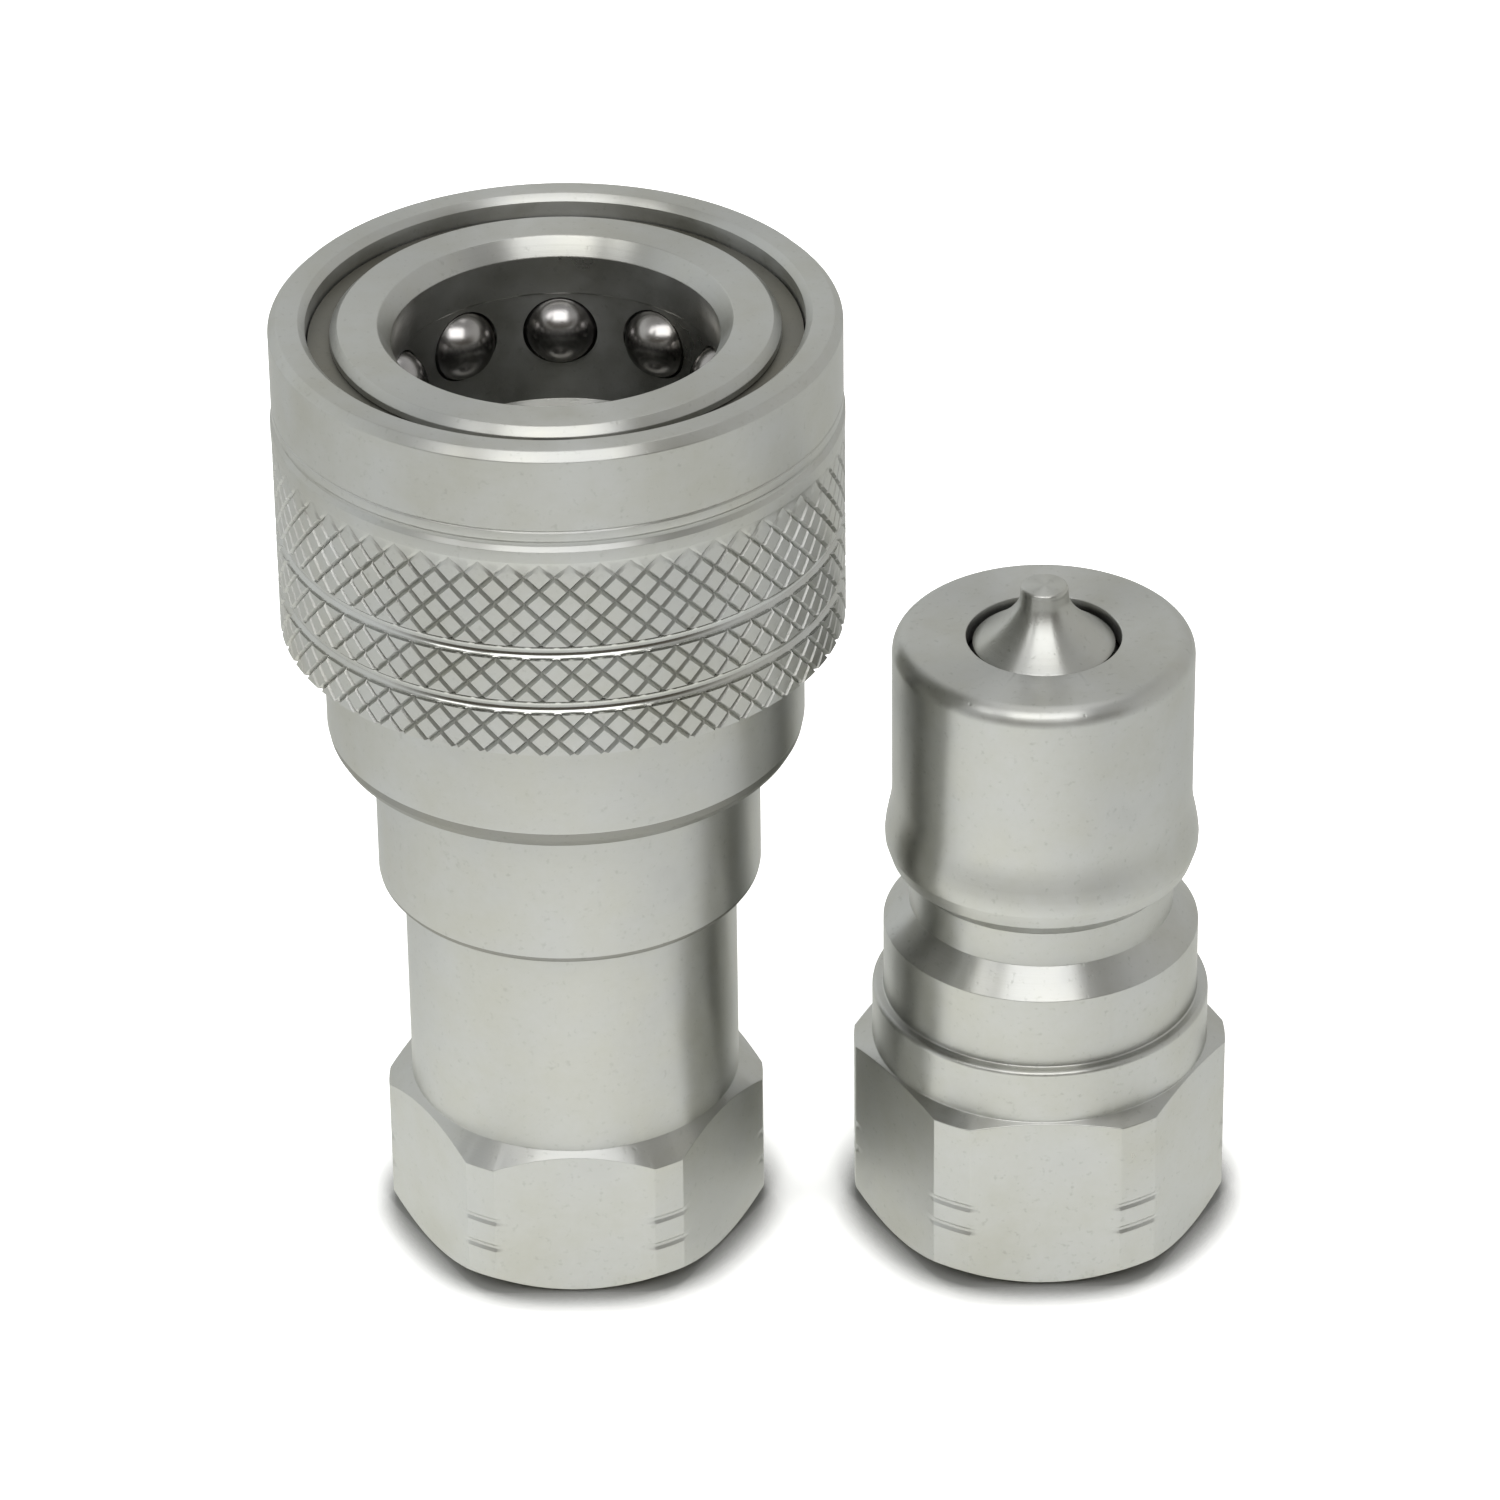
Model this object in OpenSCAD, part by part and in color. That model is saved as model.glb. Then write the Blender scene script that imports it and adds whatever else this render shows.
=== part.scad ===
// Flat-faced hex quick coupling for a cooling loop: a socket half with a ball lock and a
// knurled release sleeve, and the plug half that goes into it. Both halves stand on their
// hexes, side by side, mouth and nose up. Millimetres, +Z up. The origin lies on the
// standing plane, under the middle of the pair's outline.

/* [Plug half] */
// Height of the plug half, from its foot to the face of its nose
plug_height = 42.4; // [41:0.1:48]
// Diameter of the nose that enters the socket
plug_nose_d = 19.1; // [18.4:0.1:20]
// How far the crowned bulge in front of the ball groove stands out from the nose, per side
bulge_rise = 0.45; // [0.3:0.05:0.6]
// Distance from the nose face back to the middle of the ball groove
groove_setback = 18.1; // [17.6:0.1:19]
// Height of the plug's hex
plug_hex_h = 12.75; // [11:0.05:13.5]
// Diameter of the flange between the nose and the hex
plug_flange_d = 21.65; // [21.2:0.05:21.9]
// Turned diameter over the plug's hex corners
plug_corner_d = 24.05; // [23.6:0.05:25]

/* [Socket half] */
// Height of the socket half, from its foot to the face of its mouth
socket_height = 65.4; // [64.5:0.1:72]
// Wall of the socket's mouth, which the balls sit in
nose_wall = 3.05; // [2.9:0.05:3.3]
// Outer diameter of the sleeve
sleeve_d = 35.38; // [35.1:0.02:37]
// Length of the sleeve
sleeve_length = 20.95; // [20.8:0.05:21.5]
// Diameter of the body behind the collar
rear_d = 24.4; // [23.6:0.1:26]
// Diameter of the neck between the body and the hex
neck_d = 21.2; // [20.8:0.1:21.6]
// Height of the adapter, from the foot to the joint with the body
adapter_h = 26.1; // [25.6:0.1:26.6]
// Height of the socket's hex
socket_hex_h = 10.85; // [9.5:0.05:12]
// Turned diameter over the socket's hex corners
socket_corner_d = 24.3; // [23.8:0.05:25.2]

/* [Hexes and ports] */
// Width of both hexes across their flats
hex_af = 22; // [21.5:0.1:23]
// Bore of the pipe ports at the thread's crests
port_d = 14.9; // [14.6:0.1:15.2]
// Depth of the pipe ports
port_depth = 15; // [14:0.5:15.5]

/* [Ball lock] */
// Diameter of the locking balls
ball_d = 4.76; // [4.6:0.01:4.9]
// Number of locking balls
ball_count = 10; // [8:1:10]
// Depth of the ball circle under the socket's face
ball_depth = 6.4; // [6.2:0.1:6.8]
// Travel of the sleeve that frees the balls
sleeve_travel = 6; // [5:0.1:6.2]

/* [Valves] */
// Opening in each half that its valve closes
valve_hole_d = 9.8; // [9.4:0.1:10.2]
// Diameter of the valve's tip
valve_tip_d = 3; // [2.6:0.1:3.4]
// How far the closed valve's tip stands out of its seat's face
valve_tip_rise = 3.65; // [3.2:0.05:4]
// Travel of each valve
valve_travel = 4.2; // [3.8:0.1:4.3]

/* [Knurl] */
// Diamonds around the sleeve
knurl_count = 60; // [48:1:60]
// Height of one diamond along the sleeve
knurl_pitch = 1.9; // [1.8:0.02:2]
// Depth of the knurl's grooves
knurl_depth = 0.3; // [0.2:0.02:0.34]

/* [Clearances] */
// Radial clearance of the sleeve's inner land on the mouth
land_clear = 0.2; // [0.15:0.01:0.25]
// Radial clearance of the sleeve's skirt on the collar
skirt_clear = 0.13; // [0.1:0.01:0.2]
// Radial clearance of the plug's bulge in the mouth
mouth_clear = 0.3; // [0.2:0.05:0.35]
// Clearance round a seal in its groove
seal_clear = 0.08; // [0.05:0.01:0.12]
// Radial running clearance of a valve's stem in its guide
stem_clear = 0.08; // [0.05:0.01:0.1]

/* [Standing pair] */
// Distance between the axes of the two halves
pair_pitch = 30.1; // [30:0.1:45]

/* [Hidden] */
eps = 0.01;
round_fn = 96;
// How far a cut runs past the face that it opens, and a joined shape into its neighbour
past = 1;

// Plug, radii and levels from its foot
plug_nose_r = plug_nose_d / 2;
bulge_r = plug_nose_r + bulge_rise;
shoulder_r = bulge_r + 0.1;
flange_r = plug_flange_d / 2;
plug_corner_r = plug_corner_d / 2;
groove_z = plug_height - groove_setback;
groove_half_floor = 1.22;
plug_hex_drop = 0.48;
plug_hex_lines = [4.4, 6.2];
flange_h = 3.75;

// Socket mouth, ball lock and sleeve radii, from the plug's bulge outwards
bore_r = bulge_r + mouth_clear;
nose_r = bore_r + nose_wall;
ball_r = ball_d / 2;
ball_rest_r = nose_r - ball_r;
groove_r = nose_r - ball_d - 0.12;
ball_stroke = bulge_r + 0.17 - (nose_r - ball_d);
ball_ratio = ball_stroke / sleeve_travel;
recess_r = nose_r + ball_stroke + 0.4;
sleeve_r = sleeve_d / 2;
skirt_r = recess_r - 0.13;
collar_r = skirt_r - skirt_clear;
land_r = nose_r + land_clear;
seal_bore_r = plug_nose_r + 0.2;
rear_r = rear_d / 2;
neck_r = neck_d / 2;
socket_corner_r = socket_corner_d / 2;

// Socket levels from its foot
ball_z = socket_height - ball_depth;
rim_z = socket_height + 0.42;
ring_top = socket_height - 1;
ring_t = 1;
ring_gap = 0.05;
skirt_z = rim_z - sleeve_length;
collar_top = skirt_z + 1.5;
collar_h = 9.85;
collar_z = collar_top - collar_h;
land_top = ring_top - ring_t - ring_gap;
land_half = 1.8;
land_z = ball_z - land_half;
face_gap = 0.2;
web_z = ball_z - groove_setback - face_gap;
mouth_lead = 1.26;
mouth_land_h = 2.4;
lock_depth = 6;
seal_setback = 13.2;
socket_hex_drop = 1.25;
socket_hex_lines = [3.55, 5.6];
bore_seal_r = 0.95;
bore_seal_z = ball_z - seal_setback;
backup_t = 1.1;
joint_seal_r = 0.7;

// Valve chambers and pipe ports
hole_r = valve_hole_d / 2;
chamber_r = groove_r - 1.45;
seat_slope = 0.8;
hole_land = 1.4;
seat_h = (chamber_r - hole_r) / seat_slope;
port_r = port_d / 2;
port_mouth_r = port_r + 1.3;
passage_r = 5.8;
stem_r = 2;
seal_section = 0.75;
seal_ring_r = hole_r - 0.6;
seal_setback_in_seat = 0.7;
head_t = 1.3;
valve_wire_r = 0.45;
guide_t = 2.6;
guide_clear = 0.1;

// Joint between the socket's body and its adapter
joint_r = rear_r - 2.45;
spigot_r = joint_r - 0.15;
chamber_above = 1.8;
spigot_top = web_z - hole_land - seat_h - chamber_above;
seal_seat_h = 1.7;
valve_reach = 16.7;
socket_guide_z = web_z - valve_reach;
ring_setback = 2.9;
plug_ring_z = port_depth + ring_setback;
plug_ring_t = 1;
plug_guide_z = plug_ring_z + plug_ring_t;

// Knurl bands, from the bottom of the sleeve up, in half diamonds
knurl_half = knurl_pitch / 2;
band_rows = [3, 3, 6];
polished_w = 1;
knurl_r = sleeve_r;
knurl_core_r = knurl_r - knurl_depth - 0.1;
plain_r = sleeve_r + 0.03;
smooth_r = sleeve_r - 0.07;

// Places of the two halves
socket_x = -(pair_pitch + plug_corner_r - plain_r) / 2;
plug_x = socket_x + pair_pitch;

BALLS = ["ball_1", "ball_2", "ball_3", "ball_4", "ball_5",
         "ball_6", "ball_7", "ball_8", "ball_9", "ball_10"];

zinc = [0.74, 0.75, 0.71];
steel = [0.62, 0.63, 0.64];
ball_steel = [0.42, 0.43, 0.44];
nitrile = [0.07, 0.07, 0.07];
ptfe = [0.9, 0.9, 0.86];

// ---------------------------------------------------------------- shared shapes

// Points of an arc about c, from angle a0 to angle a1
function arc(c, r, a0, a1, n = 6) =
  [for (i = [0:n]) let (a = a0 + (a1 - a0) * i / n) c + r * [cos(a), sin(a)]];

// Bottom and top level of a knurl band, counted from the bottom of the sleeve
function band_z(i) = i == 0 ? skirt_z + 0.05
  : band_z(i - 1) + band_rows[i - 1] * knurl_half + polished_w;
function band_top(i) = band_z(i) + band_rows[i] * knurl_half;

module turned(profile) {
  rotate_extrude($fn = round_fn) polygon(profile);
}

// A cylinder along Z given by its bottom and top levels
module bore(r, z0, z1) {
  translate([0, 0, z0]) cylinder(r = r, h = z1 - z0, $fn = round_fn);
}

module cone(r0, r1, z0, z1) {
  translate([0, 0, z0]) cylinder(r1 = r0, r2 = r1, h = z1 - z0, $fn = round_fn);
}

module torus(ring_r, section_r, z) {
  translate([0, 0, z]) rotate_extrude($fn = round_fn)
    translate([ring_r, 0]) circle(r = section_r, $fn = 32);
}

// A hex with turned corners: chamfered at its foot and under neck_r at its top
module turned_hex(h, corner_r, top_r, top_drop, lines = []) {
  foot_r = corner_r - 1.5;
  foot_rise = 1.2;
  line_w = 0.35;
  line_depth = 0.14;
  notches = [for (z = lines) each
    [[corner_r, z - line_w], [corner_r - line_depth, z - line_w / 2],
     [corner_r - line_depth, z + line_w / 2], [corner_r, z + line_w]]];
  intersection() {
    cylinder(r = hex_af / 2 / cos(30), h = h, $fn = 6);
    turned(concat([[0, 0], [foot_r, 0], [corner_r, foot_rise]], notches,
      [[corner_r, h - top_drop], [top_r, h], [0, h]]));
  }
}

// Female pipe port, cut from the foot up, with its lead-in
module port() {
  cone(port_mouth_r + eps, port_r, -eps, port_mouth_r - port_r);
  bore(port_r, -eps, port_depth);
}

// Opening, conical seat and chamber for a valve that closes at face level z
module valve_chamber(z, floor_z) {
  bore(hole_r, z - hole_land - eps, z + past);
  cone(chamber_r, hole_r, z - hole_land - seat_h, z - hole_land);
  bore(chamber_r, floor_z, z - hole_land - seat_h + eps);
}

// Coil spring with closed ends between two levels
module coil_spring(mean_r, wire_r, z0, z1, turns, steps = 16, sides = 6) {
  gap = 0.05;
  closed = 2 * wire_r + gap;
  bottom = z0 + wire_r + gap;
  open_pitch = (z1 - z0 - 2 * (wire_r + gap) - 2 * closed) / (turns - 2);
  rings = turns * steps;
  function lift(u) = u < 1 ? u * closed
    : u < turns - 1 ? closed + (u - 1) * open_pitch
    : closed + (turns - 2) * open_pitch + (u - turns + 1) * closed;
  points = [for (i = [0:rings], k = [0:sides - 1])
    let (a = 360 * i / steps, b = 360 * k / sides, r = mean_r + wire_r * cos(b))
      [r * cos(a), r * sin(a), bottom + lift(i / steps) + wire_r * sin(b)]];
  sides_of = [for (i = [0:rings - 1], k = [0:sides - 1])
    let (k2 = (k + 1) % sides, a = i * sides, b = a + sides)
      each [[a + k, b + k, b + k2], [a + k, b + k2, a + k2]]];
  polyhedron(points, concat([[for (k = [0:sides - 1]) k]], sides_of,
    [[for (k = [sides - 1:-1:0]) rings * sides + k]]));
}

// Spoked guide for a valve's stem, with its foot at z
module stem_guide(z) {
  outer_r = chamber_r - guide_clear;
  inner_r = outer_r - 1.1;
  hub_r = stem_r + 1.2;
  spoke_w = 2.2;
  hub_drop = 0.6;
  difference() {
    union() {
      difference() {
        bore(outer_r, z, z + guide_t);
        bore(inner_r, z - eps, z + guide_t + eps);
      }
      bore(hub_r, z + hub_drop, z + guide_t);
      for (a = [90:120:330]) rotate([0, 0, a])
        translate([0, -spoke_w / 2, z + hub_drop])
          cube([(inner_r + outer_r) / 2, spoke_w, guide_t - hub_drop]);
    }
    bore(stem_r + stem_clear, z, z + guide_t + eps);
  }
}

// Valve that closes at face level z: a tip, a trumpet, a seal groove, a head and a stem
module valve(z, guide_z) {
  tip_r = valve_tip_d / 2;
  tip_top = z + valve_tip_rise;
  lip_r = hole_r - 0.4;
  lip_top = z - 0.45;
  lip_z = lip_top - 0.35;
  flare_r = lip_r - tip_r - 0.1;
  flare_h = tip_top - 0.5 - lip_top;
  neck = seal_ring_r - seal_section - seal_clear;
  seal_z = valve_seal_z(z);
  head_top = seal_z - seal_section - seal_clear;
  head_r = hole_r + (z - hole_land - head_top) * seat_slope - 0.25;
  boss_r = stem_r + 1.1;
  boss_z = guide_z + guide_t + valve_travel + 0.05;
  stem_end = guide_z - 1.2;
  turned(concat(
    [[0, stem_end], [stem_r - 0.3, stem_end], [stem_r, stem_end + 0.3], [stem_r, boss_z],
     [boss_r, boss_z], [boss_r, head_top - head_t], [head_r, head_top - head_t],
     [head_r, head_top], [neck, head_top], [neck, lip_z], [lip_r, lip_z], [lip_r, lip_top]],
    [for (i = [1:8]) let (a = 90 * i / 8)
      [tip_r + 0.1 + flare_r * (1 - sin(a)), lip_top + flare_h * (1 - cos(a))]],
    [[tip_r, tip_top - 0.15], [tip_r - 0.15, tip_top], [0, tip_top]]));
}

// Level of the seal ring of a valve that closes at face level z
function valve_seal_z(z) = z - hole_land - seal_setback_in_seat;

// ---------------------------------------------------------------- socket half

module at_socket() {
  translate([socket_x, 0, 0]) children();
}

// Body: mouth with the ball holes, collar, rear, seal grooves and valve seat
module coupler_body() {
  edge = 0.35;
  mouth_chamfer = 0.58;
  lock_r = bore_r + 0.25;
  mouth_land_z = socket_height - mouth_lead - mouth_land_h;
  lip_r = ball_r - 0.04;
  pocket_r = ball_r + 0.06;
  lip_depth = 0.35;
  step_z = ball_z - lock_depth;
  step_h = 0.6;
  seal_floor_r = seal_bore_r + 2 * bore_seal_r - 0.1;
  color(zinc) at_socket() difference() {
    turned([[0, adapter_h], [rear_r - 0.4, adapter_h], [rear_r - 0.1, adapter_h + 0.15],
      [rear_r, adapter_h + 0.5], [rear_r, collar_z], [collar_r - 0.4, collar_z],
      [collar_r - 0.12, collar_z + 0.5], [collar_r, collar_z + 1.1],
      [collar_r, collar_top - 0.3], [collar_r - 0.3, collar_top],
      [nose_r, collar_top], [nose_r, ring_top - ring_t - ring_gap],
      [nose_r - 0.7, ring_top - ring_t - ring_gap], [nose_r - 0.7, ring_top + ring_gap],
      [nose_r, ring_top + ring_gap], [nose_r, socket_height - edge],
      [nose_r - edge, socket_height], [0, socket_height]]);
    // mouth, lock bore and seal bore
    cone(bore_r, bore_r + mouth_chamfer, socket_height - mouth_lead, socket_height + eps);
    bore(bore_r, mouth_land_z - eps, socket_height);
    bore(lock_r, step_z, mouth_land_z);
    cone(seal_bore_r, lock_r, step_z - step_h, step_z + eps);
    bore(seal_bore_r, web_z, step_z);
    // groove for the bore seal and its backup ring
    bore(seal_floor_r, bore_seal_z - bore_seal_r - seal_clear,
      bore_seal_z + bore_seal_r + seal_clear + backup_t + seal_clear);
    // valve opening, seat and chamber, then the joint's thread bore
    valve_chamber(web_z, spigot_top - eps);
    bore(joint_r, adapter_h - eps, spigot_top + 0.1);
    // ball holes, with a lip that keeps the balls from falling into the bore
    for (i = [0:ball_count - 1]) rotate([0, 0, ball_angle(i)]) translate([0, 0, ball_z])
      rotate([0, 90, 0]) {
        translate([0, 0, bore_r - 0.5]) cylinder(r = lip_r, h = 0.6, $fn = round_fn);
        translate([0, 0, bore_r])
          cylinder(r1 = lip_r, r2 = pocket_r, h = lip_depth, $fn = round_fn);
        translate([0, 0, bore_r + lip_depth - eps])
          cylinder(r = pocket_r, h = nose_wall, $fn = round_fn);
      }
  }
}

function ball_angle(i) = 90 + 360 / ball_count * i;

module ball(i) {
  color(ball_steel) at_socket() rotate([0, 0, ball_angle(i)])
    translate([ball_rest_r, 0, ball_z]) sphere(r = ball_r, $fn = 48);
}

module bore_seal() {
  color(nitrile) at_socket()
    torus(seal_bore_r - 0.15 + bore_seal_r, bore_seal_r, bore_seal_z);
}

module backup_ring() {
  z = bore_seal_z + bore_seal_r + seal_clear;
  color(ptfe) at_socket() difference() {
    bore(seal_bore_r + 2 * bore_seal_r - 0.2, z, z + backup_t);
    bore(seal_bore_r + 0.05, z - past, z + backup_t + past);
  }
}

// Flat ring in the mouth's groove that stops the sleeve, split at the front
module sleeve_snap_ring() {
  gap_w = 2.5;
  color(steel) at_socket() difference() {
    bore(recess_r - 0.13, ring_top - ring_t, ring_top);
    bore(nose_r - 0.6, ring_top - ring_t - past, ring_top + past);
    translate([-gap_w / 2, -recess_r - past, ring_top - ring_t - past])
      cube([gap_w, recess_r, ring_t + 2 * past]);
  }
}

// Adapter: hex, neck, threaded spigot and pipe port
module adapter() {
  bore_top = spigot_top + eps;
  rebate_r = spigot_r - 2 * joint_seal_r + 0.05;
  color(zinc) at_socket() difference() {
    union() {
      turned_hex(socket_hex_h, socket_corner_r, neck_r, socket_hex_drop, socket_hex_lines);
      bore(neck_r, socket_hex_h - past, adapter_h);
      turned([[0, adapter_h - past], [spigot_r, adapter_h - past],
        [spigot_r, spigot_top - seal_seat_h],
        [rebate_r, spigot_top - seal_seat_h], [rebate_r, spigot_top], [0, spigot_top]]);
    }
    port();
    cone(port_r, passage_r, port_depth - eps, port_depth + port_r - passage_r);
    bore(passage_r, port_depth, socket_guide_z + eps);
    bore(chamber_r, socket_guide_z, bore_top);
  }
}

module joint_seal() {
  color(nitrile) at_socket()
    torus(joint_r - seal_clear - joint_seal_r, joint_seal_r, spigot_top - joint_seal_r - 0.15);
}

// Diamond knurl: rows of flat-topped diamonds around the sleeve, each row half a pitch
// high, over an inner wall that the sleeve's core covers
module knurl_band(z0, rows, bottom_drop = 0) {
  step = 360 / knurl_count;
  flat = 0.34;
  top_r = knurl_r;
  valley_r = knurl_r - knurl_depth;
  inner_r = knurl_core_r - 0.3;
  n = knurl_count;
  levels = rows + 1;
  function polar(r, i, z) = [r * cos(i * step), r * sin(i * step), z];
  function shift(k) = (k % 2) / 2;
  function edge_r(k) = top_r - (k == 0 ? bottom_drop : 0);
  function at(block, i) = block * n + (i + n) % n;
  function valley(k, i) = at(k, i);
  function left(k, i) = at(levels + k, i);
  function right(k, i) = at(2 * levels + k, i);
  function upper(k, i) = at(3 * levels + k, i);
  function lower(k, i) = at(3 * levels + rows + k - 1, i);
  function inner(end, i) = at(3 * levels + 2 * rows + end, i);
  function tip_of(k, i) = shift(k) == 0 ? i : i + 1;
  points = concat(
    [for (k = [0:rows], i = [0:n - 1]) polar(valley_r, i + shift(k) - 0.5, z0 + k * knurl_half)],
    [for (k = [0:rows], i = [0:n - 1]) polar(edge_r(k), i + shift(k) - flat, z0 + k * knurl_half)],
    [for (k = [0:rows], i = [0:n - 1]) polar(edge_r(k), i + shift(k) + flat, z0 + k * knurl_half)],
    [for (k = [0:rows - 1], i = [0:n - 1])
      polar(top_r, i + shift(k), z0 + (k + 2 * flat) * knurl_half)],
    [for (k = [1:rows], i = [0:n - 1])
      polar(top_r, i + shift(k), z0 + (k - 2 * flat) * knurl_half)],
    [for (k = [0, rows], i = [0:n - 1]) polar(inner_r, i + shift(k) - 0.5, z0 + k * knurl_half)]);
  upper_halves = [for (k = [0:rows - 1], i = [0:n - 1])
    let (v = valley(k, i), w = valley(k, i + 1), t = valley(k + 1, tip_of(k, i)),
         a = left(k, i), b = right(k, i), u = upper(k, i))
      each [[a, u, b], [v, t, a], [a, t, u], [b, u, w], [u, t, w]]];
  lower_halves = [for (k = [1:rows], i = [0:n - 1])
    let (v = valley(k, i), w = valley(k, i + 1), t = valley(k - 1, tip_of(k, i)),
         a = left(k, i), b = right(k, i), d = lower(k, i))
      each [[a, b, d], [v, a, t], [a, d, t], [b, w, d], [d, w, t]]];
  bottom_end = [for (i = [0:n - 1])
    let (v = valley(0, i), w = valley(0, i + 1), a = left(0, i), b = right(0, i),
         p = inner(0, i), q = inner(0, i + 1))
      each [[p, v, a], [p, a, b], [p, b, q], [q, b, w]]];
  top_end = [for (i = [0:n - 1])
    let (v = valley(rows, i), w = valley(rows, i + 1), a = left(rows, i), b = right(rows, i),
         p = inner(1, i), q = inner(1, i + 1))
      each [[p, a, v], [p, b, a], [p, q, b], [q, w, b]]];
  inner_wall = [for (i = [0:n - 1])
    each [[inner(0, i), inner(0, i + 1), inner(1, i)],
          [inner(0, i + 1), inner(1, i + 1), inner(1, i)]]];
  polyhedron(points, concat(upper_halves, lower_halves, bottom_end, top_end, inner_wall));
}

// Polished round groove between two knurl bands, as profile points from its bottom up
function polished_groove(i) =
  let (z0 = band_top(i), z1 = band_z(i + 1), lead = 0.03, depth = 0.35)
    concat([[knurl_core_r, z0 + lead]],
      [for (k = [1:5]) let (a = 180 * k / 6)
        [knurl_core_r - depth * sin(a), z0 + lead + (z1 - z0 - 2 * lead) * (1 - cos(a)) / 2]],
      [[knurl_core_r, z1 - lead]]);

// Release sleeve: rim recess, ball ramp, land, spring chamber and knurled grip
module sleeve() {
  rim_round = 0.6;
  ramp_top_r = land_r + ball_ratio * (land_top - ball_z);
  knurl_top = band_top(2);
  shoulder_z = knurl_top + 1.15;
  line_depth = 0.12;
  color(zinc) at_socket() union() {
    turned(concat(
      [[skirt_r, skirt_z + 0.2], [skirt_r + 0.2, skirt_z], [knurl_core_r - 0.25, skirt_z],
       [knurl_core_r, skirt_z + 0.25]],
      polished_groove(0), polished_groove(1),
      [[knurl_core_r, knurl_top - 0.15], [plain_r, knurl_top - 0.15],
       [plain_r, shoulder_z - 0.2], [plain_r - 0.05, shoulder_z - 0.05],
       [smooth_r - line_depth, shoulder_z + 0.05], [smooth_r - line_depth, shoulder_z + 0.25],
       [smooth_r, shoulder_z + 0.4], [smooth_r, shoulder_z + 0.8],
       [smooth_r - line_depth / 2, shoulder_z + 0.9], [smooth_r, shoulder_z + 1]],
      arc([smooth_r - rim_round, rim_z - rim_round], rim_round, 0, 90),
      [[recess_r + 0.15, rim_z], [recess_r, rim_z - 0.15], [recess_r, land_top],
       [ramp_top_r, land_top], [land_r, ball_z], [land_r, land_z], [skirt_r, land_z]]));
    knurl_band(band_z(0), band_rows[0], 0.2);
    knurl_band(band_z(1), band_rows[1]);
    knurl_band(band_z(2), band_rows[2]);
  }
}

module sleeve_spring() {
  wire_r = 0.65;
  color(steel) at_socket()
    coil_spring((nose_r + skirt_r) / 2, wire_r, collar_top, land_z, 3.5, 20, 6);
}

module socket_valve() {
  color(zinc) at_socket() valve(web_z, socket_guide_z);
}

module socket_valve_seal() {
  color(nitrile) at_socket() torus(seal_ring_r, seal_section, valve_seal_z(web_z));
}

module socket_valve_spring() {
  color(steel) at_socket() valve_spring(web_z, socket_guide_z, 5);
}

module socket_valve_guide() {
  color(steel) at_socket() stem_guide(socket_guide_z);
}

// Spring from the guide's spokes up to the underside of the valve's head
module valve_spring(z, guide_z, turns) {
  head_foot = valve_seal_z(z) - seal_section - seal_clear - head_t;
  coil_spring(stem_r + 2.3, valve_wire_r, guide_z + guide_t, head_foot, turns);
}

// ---------------------------------------------------------------- plug half

module at_plug() {
  translate([plug_x, 0, 0]) children();
}

// Body: nose, crowned bulge, ball groove, shoulder, flange, hex and pipe port
module plug_body() {
  face_round = 1.15;
  floor_lo = groove_z - groove_half_floor;
  floor_hi = groove_z + groove_half_floor;
  crown_r = bulge_r - 0.1;
  crown_z = floor_hi + crown_r - groove_r;
  shoulder_top = floor_lo - (shoulder_r - groove_r);
  step_z = plug_hex_h + flange_h;
  color(zinc) at_plug() difference() {
    union() {
      turned_hex(plug_hex_h, plug_corner_r, flange_r, plug_hex_drop, plug_hex_lines);
      turned(concat(
        [[0, plug_hex_h - past], [flange_r, plug_hex_h - past], [flange_r, step_z - 0.35],
         [flange_r - 0.25, step_z - 0.1], [flange_r - 0.35, step_z],
         [shoulder_r + 0.05, step_z], [shoulder_r, step_z + 0.1],
         [shoulder_r, shoulder_top], [groove_r, floor_lo],
         [groove_r, floor_hi], [crown_r, crown_z], [bulge_r - 0.02, crown_z + 0.6],
         [bulge_r, crown_z + 1.1], [bulge_r - 0.06, crown_z + 1.7],
         [bulge_r - 0.2, crown_z + 2.5], [plug_nose_r + 0.06, crown_z + 3.5],
         [plug_nose_r, crown_z + 4.2]],
        arc([plug_nose_r - face_round, plug_height - face_round], face_round, 0, 90),
        [[0, plug_height]]));
    }
    valve_chamber(plug_height, port_depth - eps);
    port();
    bore(chamber_r + 0.55, plug_ring_z - ring_gap, plug_ring_z + plug_ring_t);
  }
}

module plug_valve() {
  color(zinc) at_plug() valve(plug_height, plug_guide_z);
}

module plug_valve_seal() {
  color(nitrile) at_plug() torus(seal_ring_r, seal_section, valve_seal_z(plug_height));
}

module plug_valve_spring() {
  color(steel) at_plug() valve_spring(plug_height, plug_guide_z, 7);
}

module plug_valve_guide() {
  color(steel) at_plug() stem_guide(plug_guide_z);
}

// Split ring that holds the plug's stem guide up in its chamber
module plug_snap_ring() {
  gap_w = 3;
  outer_r = chamber_r + 0.45;
  color(steel) at_plug() difference() {
    bore(outer_r, plug_ring_z, plug_ring_z + plug_ring_t);
    bore(chamber_r - 1, plug_ring_z - past, plug_ring_z + plug_ring_t + past);
    translate([-gap_w / 2, -outer_r - past, plug_ring_z - past])
      cube([gap_w, outer_r, plug_ring_t + 2 * past]);
  }
}

// ---------------------------------------------------------------- nodes

coupler_body();
adapter();
sleeve();
sleeve_spring();
sleeve_snap_ring();
bore_seal();
backup_ring();
joint_seal();
socket_valve();
socket_valve_seal();
socket_valve_spring();
socket_valve_guide();
plug_body();
plug_valve();
plug_valve_seal();
plug_valve_spring();
plug_valve_guide();
plug_snap_ring();
for (i = [0:ball_count - 1]) ball(i);
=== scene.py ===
"""Liquid cooling quick coupling: the socket half, mouth up, and the plug half, nose up."""
import math

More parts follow.
